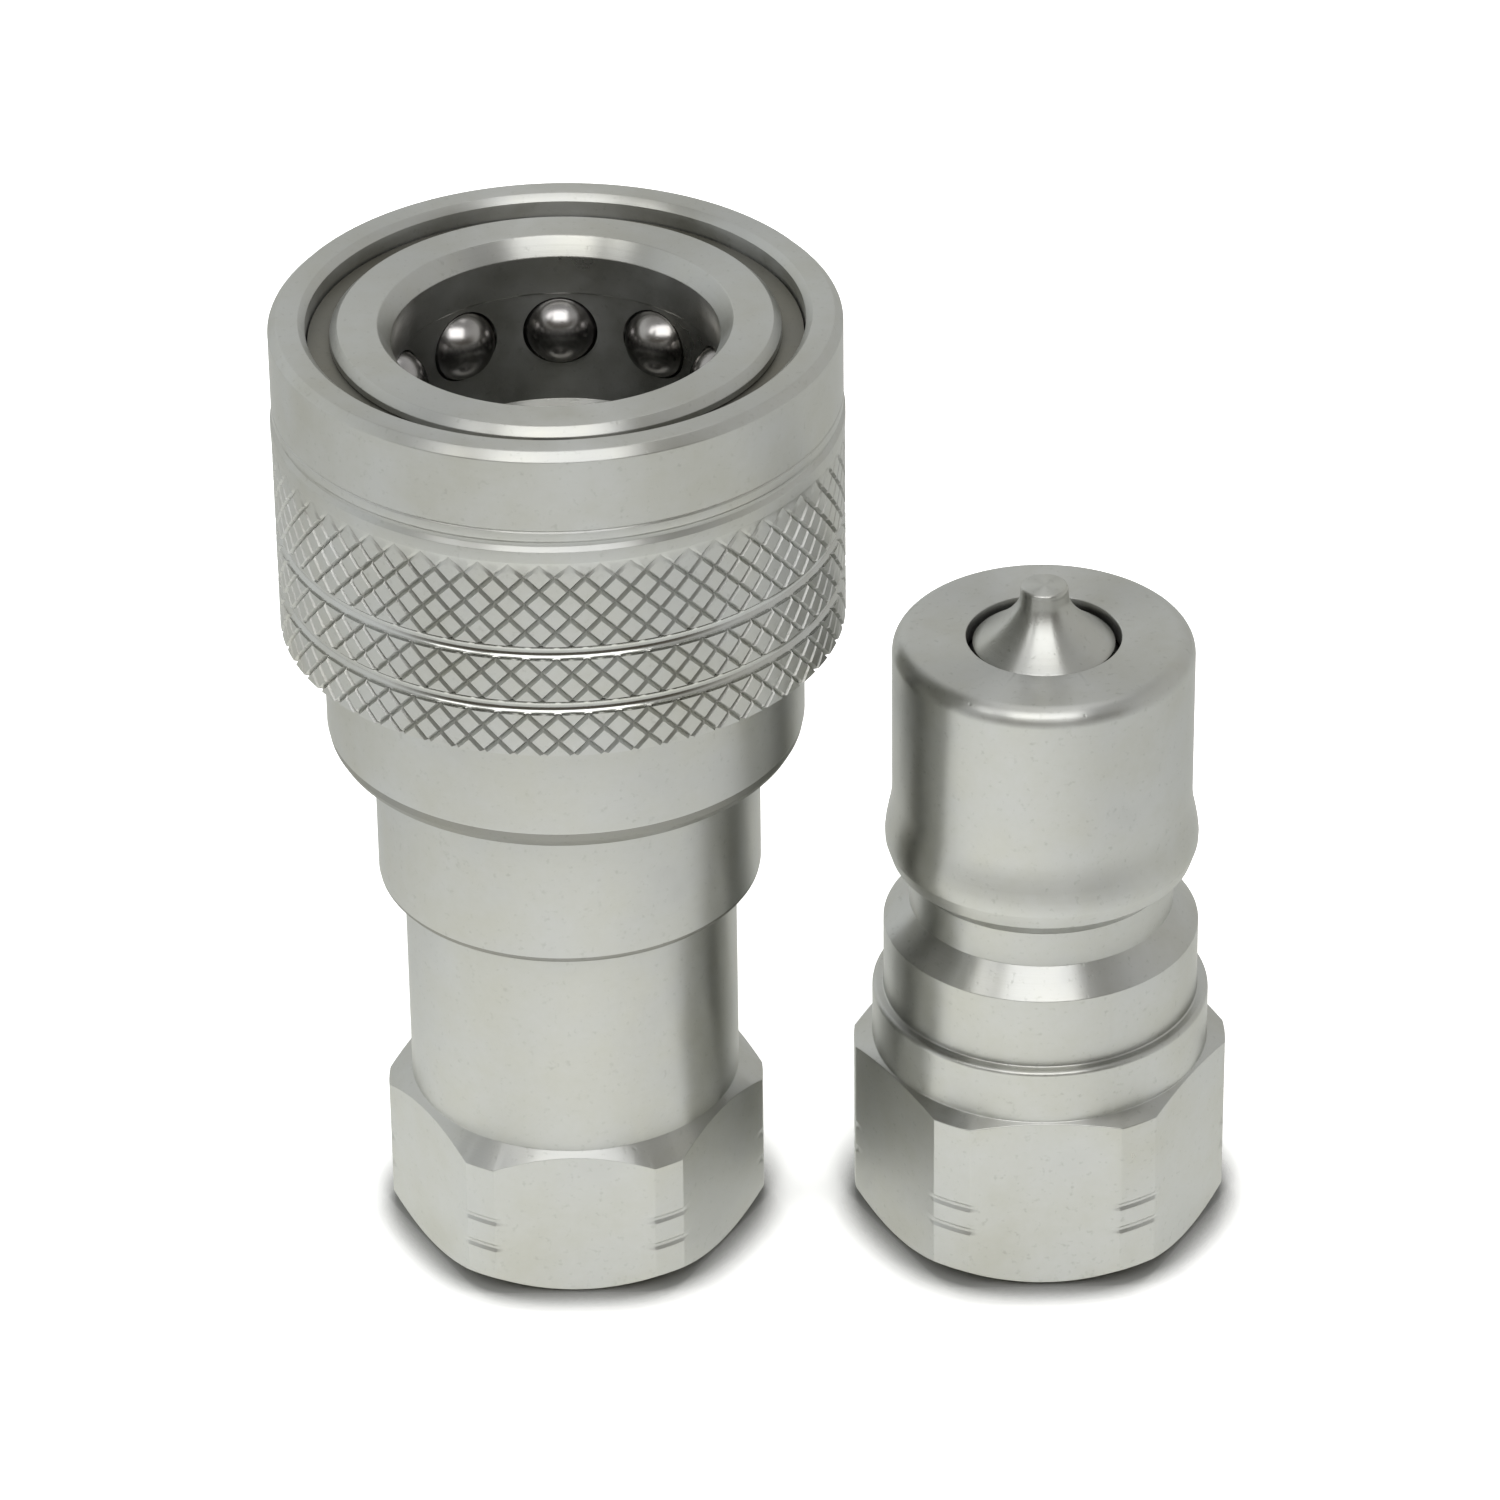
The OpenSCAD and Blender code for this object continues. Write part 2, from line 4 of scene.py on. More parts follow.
import bpy
import numpy as np
from mathutils import Matrix, Vector


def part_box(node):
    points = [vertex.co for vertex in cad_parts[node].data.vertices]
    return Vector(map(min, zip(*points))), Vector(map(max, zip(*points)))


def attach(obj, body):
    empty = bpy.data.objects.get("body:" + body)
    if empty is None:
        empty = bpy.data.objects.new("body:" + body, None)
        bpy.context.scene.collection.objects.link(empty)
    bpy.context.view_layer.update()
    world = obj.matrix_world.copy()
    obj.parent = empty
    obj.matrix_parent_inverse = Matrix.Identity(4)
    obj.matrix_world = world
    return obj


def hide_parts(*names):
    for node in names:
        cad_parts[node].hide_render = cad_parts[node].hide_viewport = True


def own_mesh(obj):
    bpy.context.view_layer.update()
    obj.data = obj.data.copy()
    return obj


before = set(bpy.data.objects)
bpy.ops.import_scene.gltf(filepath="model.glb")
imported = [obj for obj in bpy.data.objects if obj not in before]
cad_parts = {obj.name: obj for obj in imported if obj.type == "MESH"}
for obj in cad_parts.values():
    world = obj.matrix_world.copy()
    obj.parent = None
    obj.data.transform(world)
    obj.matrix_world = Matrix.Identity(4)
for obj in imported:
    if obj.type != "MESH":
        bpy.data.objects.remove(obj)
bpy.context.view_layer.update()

MM = 0.001
SOCKET_X = sum(v.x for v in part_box("sleeve_snap_ring")) / 2 / MM
PLUG_X = sum(v.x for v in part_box("plug_body")) / 2 / MM
HEX_APOTHEM = 11.0


# ---------------------------------------------------------------- mesh building

def eased(corners, closed=True, steps=4):
    """Profile points from corners (r, z) or (r, z, radius): each corner with a radius
    becomes an arc of steps + 1 points."""
    out = []
    n = len(corners)
    for i, corner in enumerate(corners):
        p = Vector(corner[:2])
        radius = corner[2] if len(corner) > 2 else 0.0
        count = corner[3] if len(corner) > 3 else steps
        if radius <= 0 or (not closed and i in (0, n - 1)):
            out.append((p.x, p.y))
            continue
        a = Vector(corners[i - 1][:2]) - p
        b = Vector(corners[(i + 1) % n][:2]) - p
        la, lb = a.length, b.length
        a, b = a / la, b / lb
        half = math.acos(max(-1.0, min(1.0, a.dot(b)))) / 2
        if half > math.radians(89.7):
            reach = min(radius, 0.4 * la, 0.4 * lb)
            for k in range(count + 1):
                t = k / count
                q = p + (a * (1 - 2 * t) * reach if t < 0.5 else b * (2 * t - 1) * reach)
                out.append((q.x, q.y))
            continue
        reach = min(radius / math.tan(half), 0.48 * la, 0.48 * lb)
        r = reach * math.tan(half)
        centre = p + (a + b).normalized() * (r / math.sin(half))
        s, e = p + a * reach - centre, p + b * reach - centre
        turn = math.atan2(s.x * e.y - s.y * e.x, s.dot(e))
        for k in range(count + 1):
            ang = turn * k / count
            c, d = math.cos(ang), math.sin(ang)
            out.append((centre.x + s.x * c - s.y * d, centre.y + s.x * d + s.y * c))
    return out


def make_object(name, verts, faces, sharp=40.0):
    """A mesh object from points in mm, smooth but for edges of more than sharp degrees."""
    mesh = bpy.data.meshes.new(name)
    mesh.from_pydata([tuple(v) for v in np.asarray(verts, dtype=float) * MM], [], faces)
    mesh.validate()
    mesh.update()
    mesh.shade_smooth()
    mesh.set_sharp_from_angle(angle=math.radians(sharp))
    obj = bpy.data.objects.new(name, mesh)
    bpy.context.scene.collection.objects.link(obj)
    weigh = obj.modifiers.new("normals", "WEIGHTED_NORMAL")
    weigh.mode = "FACE_AREA"
    weigh.keep_sharp = True
    return obj


def revolved(name, section_at, angles, x=0.0, split=None, sharp=40.0):
    """A closed ring whose section at column i, at angles[i] degrees, is section_at(i), a
    closed list of (r, z). Where split(i, k) says so, a face is cut along a diagonal."""
    n = len(angles)
    sections = np.array([section_at(i) for i in range(n)])
    m = sections.shape[1]
    turn = np.radians(np.array(angles))[:, None]
    verts = np.stack([x + sections[:, :, 0] * np.cos(turn), sections[:, :, 0] * np.sin(turn),
                      sections[:, :, 1]], axis=2).reshape(-1, 3)
    faces = []
    for i in range(n):
        j = (i + 1) % n
        for k in range(m):
            above = (k + 1) % m
            a, b, c, d = i * m + k, j * m + k, j * m + above, i * m + above
            way = split(i, k) if split else 0
            if way == 1:
                faces += [(a, b, c), (a, c, d)]
            elif way == 2:
                faces += [(a, b, d), (b, c, d)]
            else:
                faces.append((a, b, c, d))
    return make_object(name, verts, faces, sharp)


def lathe(name, corners, x, steps):
    """A turned ring: one closed section all the way round."""
    section = eased(corners)
    return revolved(name, lambda i: section, [360 * i / steps for i in range(steps)], x)


def lathe_solid(name, corners, x=0.0, steps=128):
    """A turned solid: an open profile from the bottom of the axis out and up to its top."""
    section = eased(corners, closed=False)[1:-1]
    low, high = corners[0][1], corners[-1][1]
    m = len(section)
    verts, faces = [], []
    for i in range(steps):
        a = 2 * math.pi * i / steps
        verts += [(x + r * math.cos(a), r * math.sin(a), z) for r, z in section]
    verts += [(x, 0, low), (x, 0, high)]
    for i in range(steps):
        j = (i + 1) % steps
        faces += [(i * m + k, j * m + k, j * m + k + 1, i * m + k + 1) for k in range(m - 1)]
        faces.append((steps * m, j * m, i * m))
        faces.append((steps * m + 1, i * m + m - 1, j * m + m - 1))
    return make_object(name, verts, faces)


def hex_angles(corner_r):
    """Angles round a hex with turned corners, close together at each corner's two edges."""
    edge = math.degrees(math.acos(HEX_APOTHEM / corner_r))
    near, flat_steps, corner_steps = 0.4, 24, 5
    flat = [-edge + near + (2 * edge - 2 * near) * k / flat_steps for k in range(flat_steps + 1)]
    facet = 60 - 2 * edge
    corner = [edge + near + (facet - 2 * near) * k / corner_steps
              for k in range(corner_steps + 1)]
    corner = [edge] + corner + [60 - edge]
    return [-90 + 60 * i + a for i in range(6) for a in flat + corner]


def hex_section(angle, h, corner_r, top_r, top_drop, lines, above, inside):
    """Section of a hex foot at an angle: its wall from the foot up, the corners above it,
    then back down inside."""
    off = (angle + 120) % 60 - 30
    wall = HEX_APOTHEM / math.cos(math.radians(off))
    if abs(wall - corner_r) < 1e-4:
        wall -= 0.008
    wall = min(wall, corner_r)
    foot_r, foot_rise = corner_r - 1.5, 1.2
    slope = foot_rise / (corner_r - foot_r)
    top_slope = top_drop / (corner_r - top_r)
    corners = [(foot_r, 0, 0.08, 2), (wall, (wall - foot_r) * slope, 0.08, 3)]
    for z in lines:
        for dr, dz in ((0, -0.3), (-0.14, -0.1), (-0.14, 0.1), (0, 0.3)):
            corners.append((min(wall, corner_r + dr), z + dz, 0.05, 2))
    corners += [(wall, h - (wall - top_r) * top_slope, 0.08, 3)]
    return eased(corners + above + inside)


def mark_flats(obj, x, index=1):
    """Gives the hex's flats their own material slot."""
    for face in obj.data.polygons:
        n, c = face.normal, face.center
        off = (math.degrees(math.atan2(n.y, n.x)) + 120) % 60
        reach = (c.x - x * MM) * n.x + c.y * n.y
        if abs(n.z) < 0.01 and min(off, 60 - off) < 1.5 and abs(reach / MM - HEX_APOTHEM) < 0.02:
            face.material_index = index


def pipe_thread(angle, top, root=0.62, pitch=1.41):
    """The port's wall at an angle, from its inner end down: a cut helix that fades out at
    its inner end, and the lead-in at the mouth."""
    rows = []
    count = 88
    for k in range(count + 1):
        z = top - (top - 1.3) * k / count
        phase = (z / pitch - angle / 360) % 1
        depth = root * max(0, min(1, 1.6 - 4 * abs(phase - 0.5)))
        depth *= max(0, min(1, (top - z - 0.8) / 2)) * max(0, min(1, (z - 1.3) / 0.5))
        rows.append((PORT_R + depth, z))
    return rows


# ---------------------------------------------------------------- materials

def new_material(name):
    mat = bpy.data.materials.new(name)
    mat.use_nodes = True
    nodes = mat.node_tree.nodes
    return mat, nodes, mat.node_tree.links, nodes["Principled BSDF"]


def metal(name, colour, rough, x=0.0, turning=0.8, speck=0.4, streak=0.85, ring_scale=3500,
          tint=(0.95, 0.935, 0.88)):
    """Plated steel: fine rings from the lathe about the vertical axis at x (mm), a soft
    clouding of the plating, small pits and specks."""
    mat, nodes, links, shader = new_material(name)
    place = nodes.new("ShaderNodeTexCoord")
    shift = nodes.new("ShaderNodeMapping")
    shift.inputs["Location"].default_value = (-x * MM, 0, 0)
    links.new(place.outputs["Object"], shift.inputs["Vector"])

    # rings: noise that changes fast along the axis and across the radius only
    split = nodes.new("ShaderNodeSeparateXYZ")
    links.new(shift.outputs["Vector"], split.inputs[0])
    flat = nodes.new("ShaderNodeCombineXYZ")
    links.new(split.outputs["X"], flat.inputs["X"])
    links.new(split.outputs["Y"], flat.inputs["Y"])
    length = nodes.new("ShaderNodeVectorMath")
    length.operation = "LENGTH"
    links.new(flat.outputs[0], length.inputs[0])
    ring = nodes.new("ShaderNodeCombineXYZ")
    links.new(length.outputs["Value"], ring.inputs["X"])
    links.new(split.outputs["Z"], ring.inputs["Y"])
    rings = nodes.new("ShaderNodeTexNoise")
    rings.inputs["Scale"].default_value = ring_scale
    rings.inputs["Detail"].default_value = 3
    rings.inputs["Roughness"].default_value = 0.7
    links.new(ring.outputs[0], rings.inputs["Vector"])

    clouds = nodes.new("ShaderNodeTexNoise")
    clouds.inputs["Scale"].default_value = 160
    clouds.inputs["Detail"].default_value = 5
    clouds.inputs["Roughness"].default_value = 0.6
    links.new(shift.outputs["Vector"], clouds.inputs["Vector"])

    pits = nodes.new("ShaderNodeTexNoise")
    pits.inputs["Scale"].default_value = 2600
    pits.inputs["Detail"].default_value = 2
    links.new(shift.outputs["Vector"], pits.inputs["Vector"])
    pit_ramp = nodes.new("ShaderNodeValToRGB")
    pit_ramp.color_ramp.elements[0].position = 0.62
    pit_ramp.color_ramp.elements[1].position = 0.76
    links.new(pits.outputs["Fac"], pit_ramp.inputs["Fac"])

    tone = nodes.new("ShaderNodeValToRGB")
    low = tuple(c * t * 0.9 for c, t in zip(colour, tint))
    tone.color_ramp.elements[0].position = 0.3
    tone.color_ramp.elements[0].color = (*low, 1)
    tone.color_ramp.elements[1].position = 0.62
    tone.color_ramp.elements[1].color = (*colour, 1)
    links.new(clouds.outputs["Fac"], tone.inputs["Fac"])
    dim = nodes.new("ShaderNodeMix")
    dim.data_type = "RGBA"
    dim.blend_type = "MULTIPLY"
    dim.inputs["B"].default_value = (0.72, 0.72, 0.7, 1)
    speckle = nodes.new("ShaderNodeMath")
    speckle.operation = "MULTIPLY"
    speckle.inputs[1].default_value = speck
    links.new(pit_ramp.outputs["Color"], speckle.inputs[0])
    links.new(speckle.outputs[0], dim.inputs["Factor"])
    links.new(tone.outputs["Color"], dim.inputs["A"])
    links.new(dim.outputs["Result"], shader.inputs["Base Color"])

    spread = nodes.new("ShaderNodeMapRange")
    spread.inputs["From Min"].default_value = 0.3
    spread.inputs["From Max"].default_value = 0.7
    spread.inputs["To Min"].default_value = rough * 0.85
    spread.inputs["To Max"].default_value = rough * 1.2
    links.new(clouds.outputs["Fac"], spread.inputs["Value"])
    links.new(spread.outputs["Result"], shader.inputs["Roughness"])
    shader.inputs["Metallic"].default_value = 1.0
    shader.inputs["Specular Tint"].default_value = (0.78, 0.78, 0.76, 1)
    if turning:
        tangent = nodes.new("ShaderNodeTangent")
        tangent.direction_type = "RADIAL"
        tangent.axis = "Z"
        links.new(tangent.outputs[0], shader.inputs["Tangent"])
        shader.inputs["Anisotropic"].default_value = streak
        shader.inputs["Anisotropic Rotation"].default_value = 0.25

    fine = nodes.new("ShaderNodeBump")
    fine.inputs["Strength"].default_value = turning
    fine.inputs["Distance"].default_value = 0.00001
    links.new(rings.outputs["Fac"], fine.inputs["Height"])
    grain = nodes.new("ShaderNodeBump")
    grain.inputs["Strength"].default_value = speck
    grain.inputs["Distance"].default_value = 0.00001
    grain.invert = True
    links.new(pit_ramp.outputs["Color"], grain.inputs["Height"])
    links.new(fine.outputs["Normal"], grain.inputs["Normal"])
    links.new(grain.outputs["Normal"], shader.inputs["Normal"])
    return mat


def rubber(name, colour, rough=0.5):
    mat, nodes, links, shader = new_material(name)
    place = nodes.new("ShaderNodeTexCoord")
    noise = nodes.new("ShaderNodeTexNoise")
    noise.inputs["Scale"].default_value = 900
    noise.inputs["Detail"].default_value = 4
    links.new(place.outputs["Object"], noise.inputs["Vector"])
    tone = nodes.new("ShaderNodeValToRGB")
    tone.color_ramp.elements[0].color = (*(c * 0.75 for c in colour), 1)
    tone.color_ramp.elements[1].color = (*(c * 1.2 for c in colour), 1)
    links.new(noise.outputs["Fac"], tone.inputs["Fac"])
    links.new(tone.outputs["Color"], shader.inputs["Base Color"])
    shader.inputs["Roughness"].default_value = rough
    bump = nodes.new("ShaderNodeBump")
    bump.inputs["Strength"].default_value = 0.2
    bump.inputs["Distance"].default_value = 0.00002
    links.new(noise.outputs["Fac"], bump.inputs["Height"])
    links.new(bump.outputs["Normal"], shader.inputs["Normal"])
    return mat


ZINC = (0.46, 0.465, 0.452)
zinc_socket = metal("zinc_socket", ZINC, 0.35, SOCKET_X)
zinc_plug = metal("zinc_plug", ZINC, 0.32, PLUG_X, speck=0.5)
polished = metal("zinc_polished", ZINC, 0.16, SOCKET_X, turning=0.15, speck=0.1, streak=0.3)
bored = metal("zinc_bored", ZINC, 0.3, SOCKET_X, turning=1.0, ring_scale=2200)
# painted shade: a darker zinc for the coupler body's downward-facing faces, not a colour of the
# plating
painted_shade_under = metal("zinc_painted_shade_downward", (0.25, 0.25, 0.235), 0.4, SOCKET_X)
drawn_socket = metal("drawn_socket", ZINC, 0.33, SOCKET_X, turning=0.0, speck=0.35)
drawn_plug = metal("drawn_plug", ZINC, 0.3, PLUG_X, turning=0.0, speck=1.0)
ball_metal = metal("ball_steel", (0.34, 0.33, 0.33), 0.22, SOCKET_X, turning=0.0, speck=0.3)
dark_metal = metal("phosphated_ring", (0.2, 0.195, 0.175), 0.4, SOCKET_X, turning=0.3)
spring_metal = metal("spring_steel", (0.4, 0.4, 0.39), 0.3)
stamped_metal = metal("stamped_steel", (0.42, 0.42, 0.4), 0.35)
nitrile = rubber("nitrile", (0.02, 0.02, 0.02))
ptfe = rubber("ptfe", (0.75, 0.75, 0.7), 0.4)

# materials of the CAD nodes, by name or else by a word in the name
FINISH = {"sleeve_snap_ring": dark_metal, "adapter": zinc_socket,
          "coupler_body": zinc_socket, "sleeve": zinc_socket, "socket_valve": zinc_socket,
          "plug_body": zinc_plug, "plug_valve": zinc_plug, "backup_ring": ptfe}
KINDS = (("ball_", ball_metal), ("seal", nitrile), ("spring", spring_metal),
         ("ring", stamped_metal), ("guide", stamped_metal))
for node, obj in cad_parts.items():
    kind = next((mat for word, mat in KINDS if word in node), None)
    obj.data.materials.clear()
    obj.data.materials.append(FINISH.get(node, kind))

# ---------------------------------------------------------------- socket half


def piece(obj, node, body, *mats):
    """A finished piece that stands for a CAD node and rides on its body."""
    for mat in mats:
        obj.data.materials.append(mat)
    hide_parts(node)
    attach(obj, body)
    return obj


def cut(obj, cutter):
    """Cuts one mesh out of another, for good."""
    obj.modifiers.remove(obj.modifiers["normals"])
    mod = obj.modifiers.new("cut", "BOOLEAN")
    mod.operation, mod.solver, mod.object = "DIFFERENCE", "EXACT", cutter
    view = bpy.context.evaluated_depsgraph_get()
    mesh = bpy.data.meshes.new_from_object(obj.evaluated_get(view))
    obj.modifiers.remove(mod)
    obj.data = mesh
    bpy.data.objects.remove(cutter)
    mesh.shade_smooth()
    mesh.set_sharp_from_angle(angle=math.radians(30))


def turned_normals(obj, x):
    """Gives each upright turned face the normals of its cylinder again after a cut."""
    mesh = obj.data
    normals = [Vector(n.vector) for n in mesh.corner_normals]
    for face in mesh.polygons:
        if abs(face.normal.z) > 0.02:
            continue
        for loop in face.loop_indices:
            at = mesh.vertices[mesh.loops[loop].vertex_index].co
            out = Vector((at.x - x * MM, at.y, 0)).normalized()
            side = out.dot(face.normal)
            if abs(side) > 0.99:
                normals[loop] = out if side > 0 else -out
    mesh.normals_split_custom_set(normals)


# radii and levels, in mm
PORT_R, PORT_DEPTH = 7.45, 15.0
NECK_R, REAR_R, COLLAR_R = 10.6, 12.2, 15.07
JOINT_Z, COLLAR_Z, COLLAR_TOP, FACE_Z, RIM_Z = 26.1, 36.52, 46.37, 65.4, 65.82
RING_R, RING_LOW, RING_HIGH = 12.65, 63.35, 64.45
NOSE_R, HEAD_R, BORE_R, LOCK_R = 13.35, 13.85, 10.1, 10.22
SEAL_BORE_R, CHAMBER_R = 9.75, 7.02
BALL_Z, BALL_R, WEB_Z = 59.0, 2.38, 40.7

# hex, neck, spigot and port
socket_angles = hex_angles(12.15)


def adapter_section(i):
    inside = [(CHAMBER_R, 34.85), (CHAMBER_R, 24.0), (5.8, 24.0), (5.8, 16.65),
              (PORT_R, PORT_DEPTH)]
    inside += pipe_thread(socket_angles[i], PORT_DEPTH) + [(8.75, 0, 0.05, 2)]
    above = [(NECK_R, 10.85, 0.1, 3), (NECK_R, JOINT_Z), (9.6, JOINT_Z), (9.6, 33.15),
             (8.25, 33.15), (8.25, 34.85)]
    return hex_section(socket_angles[i], 10.85, 12.15, NECK_R, 1.25, (3.55, 5.6), above, inside)


adapter = piece(revolved("adapter_finish", adapter_section, socket_angles, SOCKET_X),
                "adapter", "coupling", zinc_socket, drawn_socket)
mark_flats(adapter, SOCKET_X)

# body with its collar, mouth, lock bore and seal groove
body = lathe("coupler_body_finish", [
    (9.75, JOINT_Z), (REAR_R, JOINT_Z, 0.5), (REAR_R, COLLAR_Z, 0.12),
    (14.67, COLLAR_Z, 0.08, 3), (14.95, 37.02, 0.1, 3), (COLLAR_R, 37.62, 0.4),
    (COLLAR_R, COLLAR_TOP, 0.25), (NOSE_R, COLLAR_TOP, 0.2), (NOSE_R, RING_LOW, 0.04, 2),
    (RING_R, RING_LOW), (RING_R, RING_HIGH), (HEAD_R, RING_HIGH, 0.06, 2),
    (HEAD_R, 64.9, 0.12), (NOSE_R, FACE_Z, 0.12), (10.92, FACE_Z, 0.15),
    (BORE_R, 64.3, 0.15), (BORE_R, 61.74, 0.06, 2), (LOCK_R, 61.6), (LOCK_R, 54.15, 0.1),
    (SEAL_BORE_R, 53.35, 0.1), (SEAL_BORE_R, 48.01, 0.08), (11.55, 48.01), (11.55, 44.77),
    (SEAL_BORE_R, 44.77, 0.08), (SEAL_BORE_R, WEB_Z, 0.3), (4.9, WEB_Z, 0.08), (4.9, 39.3),
    (CHAMBER_R, 36.65), (CHAMBER_R, 34.86), (9.75, 34.96)], SOCKET_X, steps=240)
drill = []
for i in range(10):
    hole = lathe_solid("hole", [(0, 9.7), (BALL_R - 0.04, 9.7), (BALL_R - 0.04, LOCK_R + 0.1),
                                (BALL_R + 0.06, LOCK_R + 0.35), (BALL_R + 0.06, 13.8),
                                (0, 13.8)], steps=48)
    hole.data.transform(Matrix.Translation((SOCKET_X * MM, 0, BALL_Z * MM))
                        @ Matrix.Rotation(math.radians(90 + 36 * i), 4, "Z")
                        @ Matrix.Rotation(math.radians(90), 4, "Y"))
    drill.append(hole)
with bpy.context.temp_override(active_object=drill[0], selected_editable_objects=drill):
    bpy.ops.object.join()
cut(body, drill[0])
turned_normals(body, SOCKET_X)
piece(body, "coupler_body", "coupling", zinc_socket, bored, painted_shade_under)
# the lock bore takes the bored zinc; faces outside it that face downward take the darker zinc, which
# is painted shade
for face in body.data.polygons:
    r = math.hypot(face.center.x / MM - SOCKET_X, face.center.y / MM)
    if r < LOCK_R + 0.05 and WEB_Z + 1 < face.center.z / MM < 64.2:
        face.material_index = 1
    elif r > 11 and face.normal.z < -0.15:
        face.material_index = 2

# sleeve: knurled in three bands, with two polished grooves
COUNT, CELL = 60, 8
columns = COUNT * CELL
KNURL_R, KNURL_DEPTH, HALF = 17.69, 0.24, 0.95
# bottom level of each band, its rows, and the half width of its V grooves in columns
BANDS = [(44.92, 12, 1.0), (48.77, 12, 1.0), (52.62, 24, 1.0)]
ROW = HALF / 4
GROOVE_STEPS = 14


def band_top(n):
    return BANDS[n][0] + BANDS[n][1] * ROW


def knurl(i, row, width):
    """Depth of the knurl's V grooves at a column and row, 0 on the diamonds' flat tops; a V
    is width columns wide on each side of its middle."""
    gaps = [(i - row + 4) % CELL, (i + row + 4) % CELL]
    near = min(min(g, CELL - g) for g in gaps)
    return KNURL_DEPTH * max(0.0, 1 - near / width)


def band(i, z0, rows, width, fade=0):
    """A band's points at a column: its V grooves run out over its last fade rows."""
    out = []
    for row in range(rows + 1):
        share = min(1, (rows - row + 0.5) / fade) if fade else 1
        out.append((KNURL_R - knurl(i, row, width) * share, z0 + row * ROW))
    return out


def groove(i, n):
    """Polished round groove between bands n and n + 1 at a column: the V grooves of the
    bands run out in its two lips."""
    low, high = band_top(n), BANDS[n + 1][0]
    ends = {0: knurl(i, BANDS[n][1], BANDS[n][2]), GROOVE_STEPS: knurl(i, 0, BANDS[n + 1][2])}
    out = []
    for k in range(GROOVE_STEPS + 1):
        a = math.pi * k / GROOVE_STEPS
        r = KNURL_R - 0.06 - 0.4 * math.sin(a)
        for end, depth in ends.items():
            if abs(k - end) <= 2:
                r = min(r, KNURL_R - depth)
        out.append((r, low + 0.01 + (high - low - 0.02) * (1 - math.cos(a)) / 2))
    return out


foot = eased([(15.4, 44.87), (17.15, 44.87, 0.1, 2), (17.39, 44.9)], closed=False)
crown = eased([
    (17.69, 58.32), (17.72, 58.42, 0.05, 2), (17.72, 59.2, 0.06, 3), (17.45, 59.47, 0.03, 2),
    (17.45, 59.72, 0.03, 2), (17.62, 59.92, 0.06, 2), (17.62, 60.45, 0.04, 2),
    (17.54, 60.55, 0.03, 2), (17.62, 60.65, 0.04, 2), (17.62, 65.3, 0.15, 4),
    (17.1, RIM_Z, 0.15, 4), (15.76, RIM_Z, 0.06, 2), (15.33, 65.42, 0.06, 2),
    (15.33, RING_LOW), (14.69, RING_LOW, 0.06, 2), (13.55, BALL_Z, 0.1, 2),
    (13.55, 57.2, 0.06, 2), (15.2, 57.2), (15.2, 45.07)], closed=False)
starts = []
level = len(foot)
for n, (_, rows, _) in enumerate(BANDS):
    starts.append((level, level + rows))
    level += rows + 1 + (GROOVE_STEPS + 1 if n < 2 else 0)


def sleeve_section(i):
    out = list(foot)
    for n, (z0, rows, width) in enumerate(BANDS):
        out += band(i, z0, rows, width, 7 if n == 2 else 0)
        if n < 2:
            out += groove(i, n)
    return out + crown[1:]


def knurl_split(i, k):
    for first, last in starts:
        if first <= k < last:
            row = k - first
            if (i - row + 4) % CELL == 0:
                return 1
            if (i + row + 5) % CELL == 0:
                return 2
            return 1 if (i - row + 4) % CELL in (1, 7) else 2
    return 0


sleeve = piece(revolved("sleeve_finish", sleeve_section,
                        [360 * i / columns for i in range(columns)], SOCKET_X,
                        split=knurl_split, sharp=18), "sleeve", "sleeve", zinc_socket, polished)
for face in sleeve.data.polygons:
    r = math.hypot(face.center.x / MM - SOCKET_X, face.center.y / MM)
    if r > 17 and any(band_top(n) < face.center.z / MM < BANDS[n + 1][0] for n in (0, 1)):
        face.material_index = 1


# ---------------------------------------------------------------- valves

def valve_corners(z, guide_z):
    tip_top, lip_top = z + 3.65, z - 0.45
    flare = [(1.55 + 2.9 * (1 - t) ** 1.6, lip_top + 0.05 + (tip_top - 0.9 - lip_top) * t)
             for t in (k / 20 for k in range(21))]
    head_top = z - 2.93
    head_r = 4.9 + (z - 1.4 - head_top) * 0.8 - 0.25
    boss_z = guide_z + 6.85
    return ([(0, guide_z - 1.2), (2, guide_z - 1.2, 0.3), (2, boss_z), (3.1, boss_z, 0.15),
             (3.1, head_top - 1.3), (head_r, head_top - 1.3, 0.1), (head_r, head_top, 0.1),
             (3.47, head_top), (3.47, lip_top - 0.35), (4.5, lip_top - 0.35, 0.06),
             (4.5, lip_top, 0.05)] + flare + [(1.5, tip_top - 0.4, 0.05), (1.5, tip_top, 0.2),
                                             (0, tip_top)])


socket_valve = piece(lathe_solid("socket_valve_finish", valve_corners(WEB_Z, 24.0), SOCKET_X),
                     "socket_valve", "socket_valve", zinc_socket)
PLUG_TOP = 42.4
plug_valve = piece(lathe_solid("plug_valve_finish", valve_corners(PLUG_TOP, 18.9), PLUG_X),
                   "plug_valve", "plug_valve", zinc_plug)

# ---------------------------------------------------------------- springs

